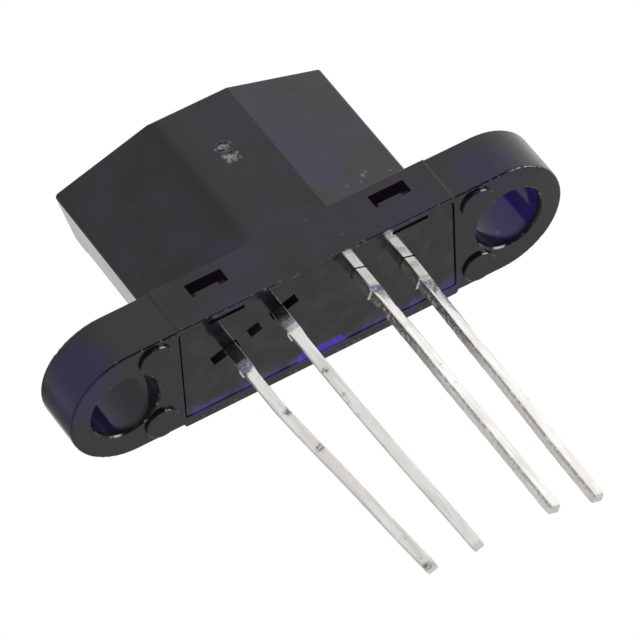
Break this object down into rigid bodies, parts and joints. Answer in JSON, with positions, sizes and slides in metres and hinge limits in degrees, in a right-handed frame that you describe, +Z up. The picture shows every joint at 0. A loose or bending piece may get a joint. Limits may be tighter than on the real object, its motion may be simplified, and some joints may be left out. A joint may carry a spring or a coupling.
{
  "type": "reflective optical sensor",
  "caption": "Reflective optical sensor: chevron infrared housing on a flange with screw ears, snap-in base insert, angled LED and phototransistor packages and straight through-hole leads.",
  "frame": {"origin": "midway between the two screw holes, on the underside of the flange", "axes": "+X along the flange through both screw holes, +Y towards the sensing front, +Z up from the flange through the body; the leads point along -Z"},
  "size_m": [0.0244, 0.0063, 0.0261],
  "materials": {
    "infrared_plastic": "glossy moulded, very dark with a deep blue tint",
    "insert_plastic": "semi-gloss moulded black",
    "led_resin": "clear pale resin",
    "sensor_resin": "dark infrared-passing resin",
    "tinned_lead": "bright tinned, with fine drawn lines",
    "chip": "polished semiconductor",
    "gold_wire": "drawn gold"
  },
  "bodies": {
    "root": {"housing": "infrared_plastic", "base_insert": "insert_plastic", "led_package": "led_resin", "phototransistor_package": "sensor_resin", "led_anode_lead": "tinned_lead", "led_cathode_lead": "tinned_lead", "phototransistor_collector_lead": "tinned_lead", "phototransistor_emitter_lead": "tinned_lead", "led_chip": "chip", "phototransistor_chip": "chip", "led_bond_wire": "gold_wire", "phototransistor_bond_wire": "gold_wire"}
  },
  "joints": []
}
